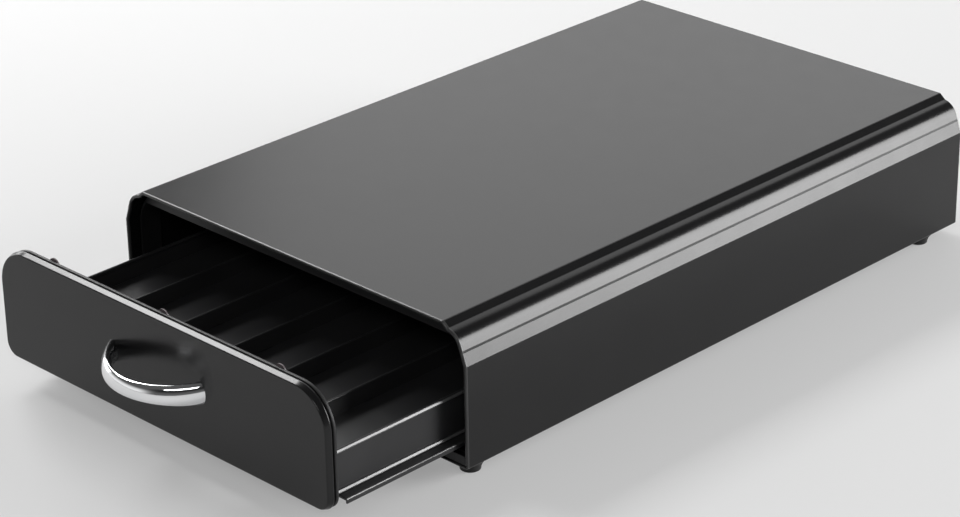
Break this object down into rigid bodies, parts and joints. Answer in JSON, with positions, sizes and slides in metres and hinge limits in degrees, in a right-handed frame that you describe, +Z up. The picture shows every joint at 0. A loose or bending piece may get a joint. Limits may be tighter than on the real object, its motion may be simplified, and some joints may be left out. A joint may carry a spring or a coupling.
{
  "type": "coffee pod drawer",
  "caption": "Low black steel drawer unit that holds upright coffee pods in lanes under a coffee machine, with a fluted cover, a chrome bow handle and roller slides.",
  "frame": {"origin": "on the table, in the middle of the object's footprint as it stands with the drawer 91 mm open", "axes": "+X to the right as seen from the front, +Y from the handle to the back, +Z up"},
  "size_m": [0.27, 0.531, 0.087],
  "materials": {
    "case_steel": "satin black powder coat",
    "inner_steel": "matt black powder coat",
    "tray_steel": "satin dark grey powder coat",
    "runner_steel": "dark grey coated steel, rubbed bright along its lip",
    "plated_steel": "zinc plated",
    "nylon": "moulded nylon",
    "rubber": "matt black rubber",
    "silicone": "translucent pale silicone",
    "chrome": "polished chrome plate"
  },
  "bodies": {
    "case": {"cover_shell": "case_steel", "base_pan": "inner_steel", "back_panel": "case_steel", "front_frame": "inner_steel", "guide_rail_left": "plated_steel", "guide_rail_right": "plated_steel", "front_roller_pins": "plated_steel", "cover_screws": "plated_steel", "back_panel_screws": "plated_steel", "foot_front_left": "rubber", "foot_front_right": "rubber", "foot_rear_left": "rubber", "foot_rear_right": "rubber", "foot_screws": "plated_steel"},
    "drawer": {"drawer_tray": "tray_steel", "pod_deck": "tray_steel", "lane_divider_1": "tray_steel", "lane_divider_2": "tray_steel", "lane_divider_3": "tray_steel", "lane_divider_4": "tray_steel", "lane_divider_5": "tray_steel", "runner_left": "runner_steel", "runner_right": "runner_steel", "runner_rivets": "plated_steel", "deck_screws": "plated_steel", "rear_roller_pins": "plated_steel", "front_panel": "case_steel", "panel_back_plate": "inner_steel", "panel_screws": "plated_steel", "closing_bumpers": "silicone", "bow_handle": "chrome", "handle_screws": "plated_steel"},
    "wheel_front_left": {"front_roller_left": "nylon"},
    "wheel_front_right": {"front_roller_right": "nylon"},
    "wheel_rear_left": {"rear_roller_left": "nylon"},
    "wheel_rear_right": {"rear_roller_right": "nylon"}
  },
  "joints": [
    {"name": "drawer_slide", "type": "slide", "parent": "case", "child": "drawer", "axis": [0, -1, 0], "range_m": [-0.091, 0.199]},
    {"name": "front_left_spin", "type": "hinge", "parent": "case", "child": "wheel_front_left", "pos_m": [-0.1264, -0.1245, 0.01515], "axis": [1, 0, 0], "continuous": true},
    {"name": "front_right_spin", "type": "hinge", "parent": "case", "child": "wheel_front_right", "pos_m": [0.1264, -0.1245, 0.01515], "axis": [1, 0, 0], "continuous": true},
    {"name": "rear_left_spin", "type": "hinge", "parent": "drawer", "child": "wheel_rear_left", "pos_m": [-0.1264, 0.1505, 0.01615], "axis": [1, 0, 0], "continuous": true},
    {"name": "rear_right_spin", "type": "hinge", "parent": "drawer", "child": "wheel_rear_right", "pos_m": [0.1264, 0.1505, 0.01615], "axis": [1, 0, 0], "continuous": true}
  ],
  "couplings": [
    {"joint": "front_left_spin", "follows": "drawer_slide", "rad_per_m": 208.33},
    {"joint": "front_right_spin", "follows": "drawer_slide", "rad_per_m": 208.33},
    {"joint": "rear_left_spin", "follows": "drawer_slide", "rad_per_m": 169.49},
    {"joint": "rear_right_spin", "follows": "drawer_slide", "rad_per_m": 169.49}
  ]
}
